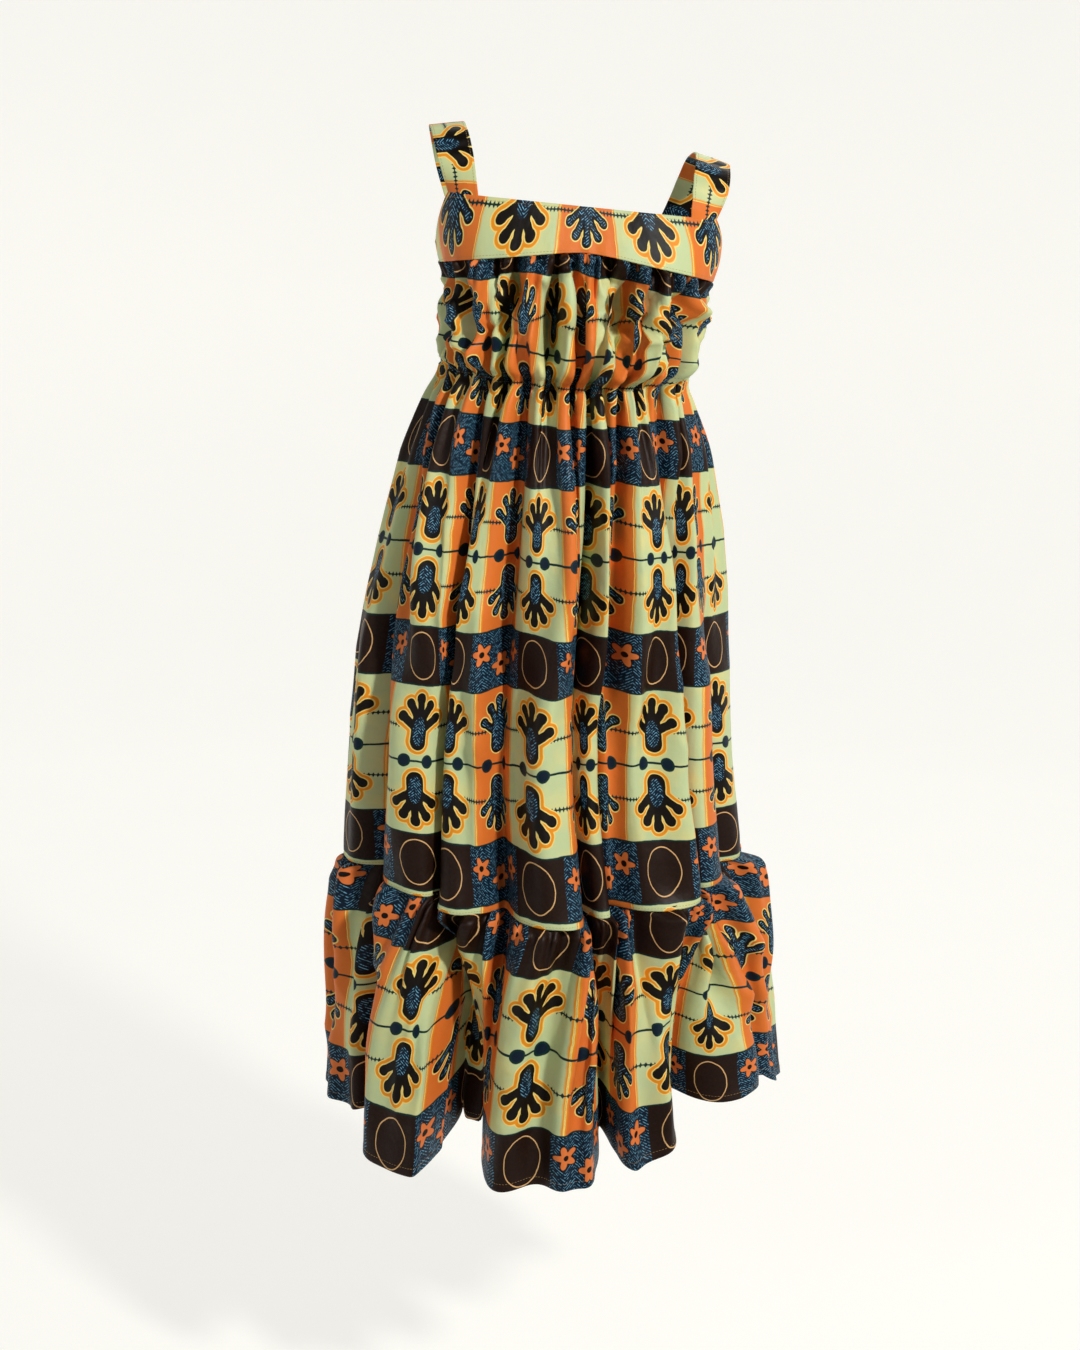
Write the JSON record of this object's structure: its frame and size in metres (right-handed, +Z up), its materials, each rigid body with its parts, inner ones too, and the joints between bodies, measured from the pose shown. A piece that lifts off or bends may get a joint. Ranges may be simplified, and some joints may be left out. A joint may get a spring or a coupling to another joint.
{
  "type": "sundress",
  "caption": "Sleeveless wax print cotton sundress with a yoke band, wide shoulder straps, an elastic waist and a deep gathered hem ruffle, posed as worn.",
  "frame": {"origin": "midway between the undersides of the two straps where they lie on the wearer's shoulders", "axes": "+Z up along the body, -Y towards the front of the dress, +X towards the wearer's left"},
  "size_m": [0.5058, 0.4167, 1.0818],
  "materials": {
    "band_print": "printed cotton with a light wax sheen",
    "panel_print": "printed cotton with a light wax sheen",
    "ruffle_print": "printed cotton with a light wax sheen"
  },
  "bodies": {
    "root": {"front_yoke": "band_print", "back_yoke": "band_print", "strap_right": "band_print", "strap_left": "band_print", "front_panel": "panel_print", "back_panel": "panel_print", "front_ruffle": "ruffle_print", "back_ruffle": "ruffle_print"}
  },
  "joints": []
}
